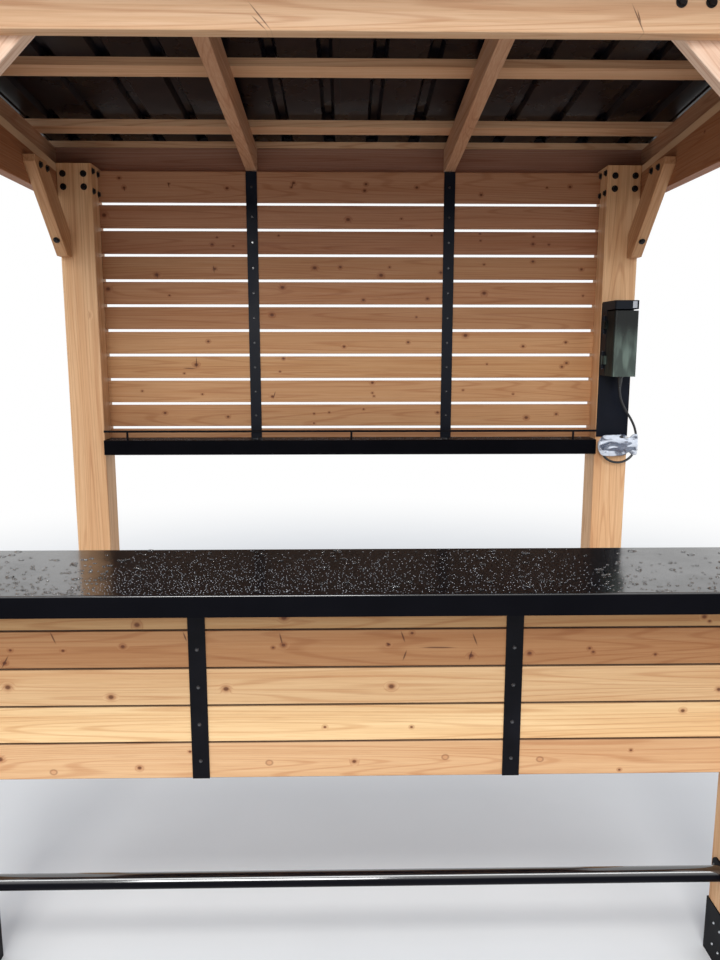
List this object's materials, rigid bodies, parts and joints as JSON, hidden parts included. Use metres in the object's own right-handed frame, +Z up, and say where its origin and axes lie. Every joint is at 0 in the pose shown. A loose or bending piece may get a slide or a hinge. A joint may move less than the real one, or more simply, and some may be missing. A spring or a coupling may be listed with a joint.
{
  "type": "outdoor bar",
  "caption": "Timber-framed outdoor bar with a low-pitched metal roof, steel bar top, slatted back wall, rear shelf, foot rail and weatherproof outlet box.",
  "frame": {"origin": "on the ground, under the middle of the roof", "axes": "+Z up, -Y towards the customers' side where the bar top is, +X to the right seen from that side"},
  "size_m": [2.236, 1.77, 2.4346],
  "materials": {
    "cedar_post": "sanded cedar, clear stain",
    "cedar_frame": "sanded cedar, clear stain",
    "cedar_slat": "sanded cedar with small knots",
    "cedar_board": "sanded cedar with small knots",
    "black_steel": "black powder coat, satin",
    "roof_steel": "black baked enamel, satin",
    "box_plastic": "moulded black",
    "smoke_plastic": "smoked, translucent",
    "cord_rubber": "black cord jacket"
  },
  "bodies": {
    "frame": {"back_cleats": "cedar_frame", "back_slats": "cedar_slat", "back_straps": "black_steel", "bar_bearers": "cedar_frame", "bar_rails": "cedar_frame", "bar_top": "black_steel", "brace_front_left": "cedar_frame", "brace_front_right": "cedar_frame", "brace_side_front_left": "cedar_frame", "brace_side_front_right": "cedar_frame", "brace_side_rear_left": "cedar_frame", "brace_side_rear_right": "cedar_frame", "cord_gland": "cord_rubber", "fascia": "cedar_frame", "foot_rail": "black_steel", "foot_rail_flanges": "black_steel", "front_beam": "cedar_frame", "front_boards": "cedar_board", "front_stiles": "cedar_frame", "front_straps": "black_steel", "outlet_box": "box_plastic", "outlet_plate": "black_steel", "plug": "cord_rubber", "post_front_left": "cedar_post", "post_front_right": "cedar_post", "post_rear_left": "cedar_post", "post_rear_right": "cedar_post", "power_cord": "cord_rubber", "rafter_left": "cedar_frame", "rafter_right": "cedar_frame", "rake_rafter_left": "cedar_frame", "rake_rafter_right": "cedar_frame", "rear_header": "cedar_frame", "rear_shelf": "black_steel", "roof_battens": "cedar_frame", "roof_sheet_left": "roof_steel", "roof_sheet_right": "roof_steel", "shelf_rail": "black_steel", "shoe_front_left": "black_steel", "shoe_front_right": "black_steel", "shoe_rear_left": "black_steel", "shoe_rear_right": "black_steel", "side_beam_left": "cedar_frame", "side_beam_right": "cedar_frame"},
    "cover": {"outlet_cover": "smoke_plastic"}
  },
  "joints": [
    {"name": "cover_hinge", "type": "hinge", "parent": "frame", "child": "cover", "pos_m": [0.903, 0.65, 1.55], "axis": [0, 0, -1], "range_deg": [0, 110]}
  ]
}
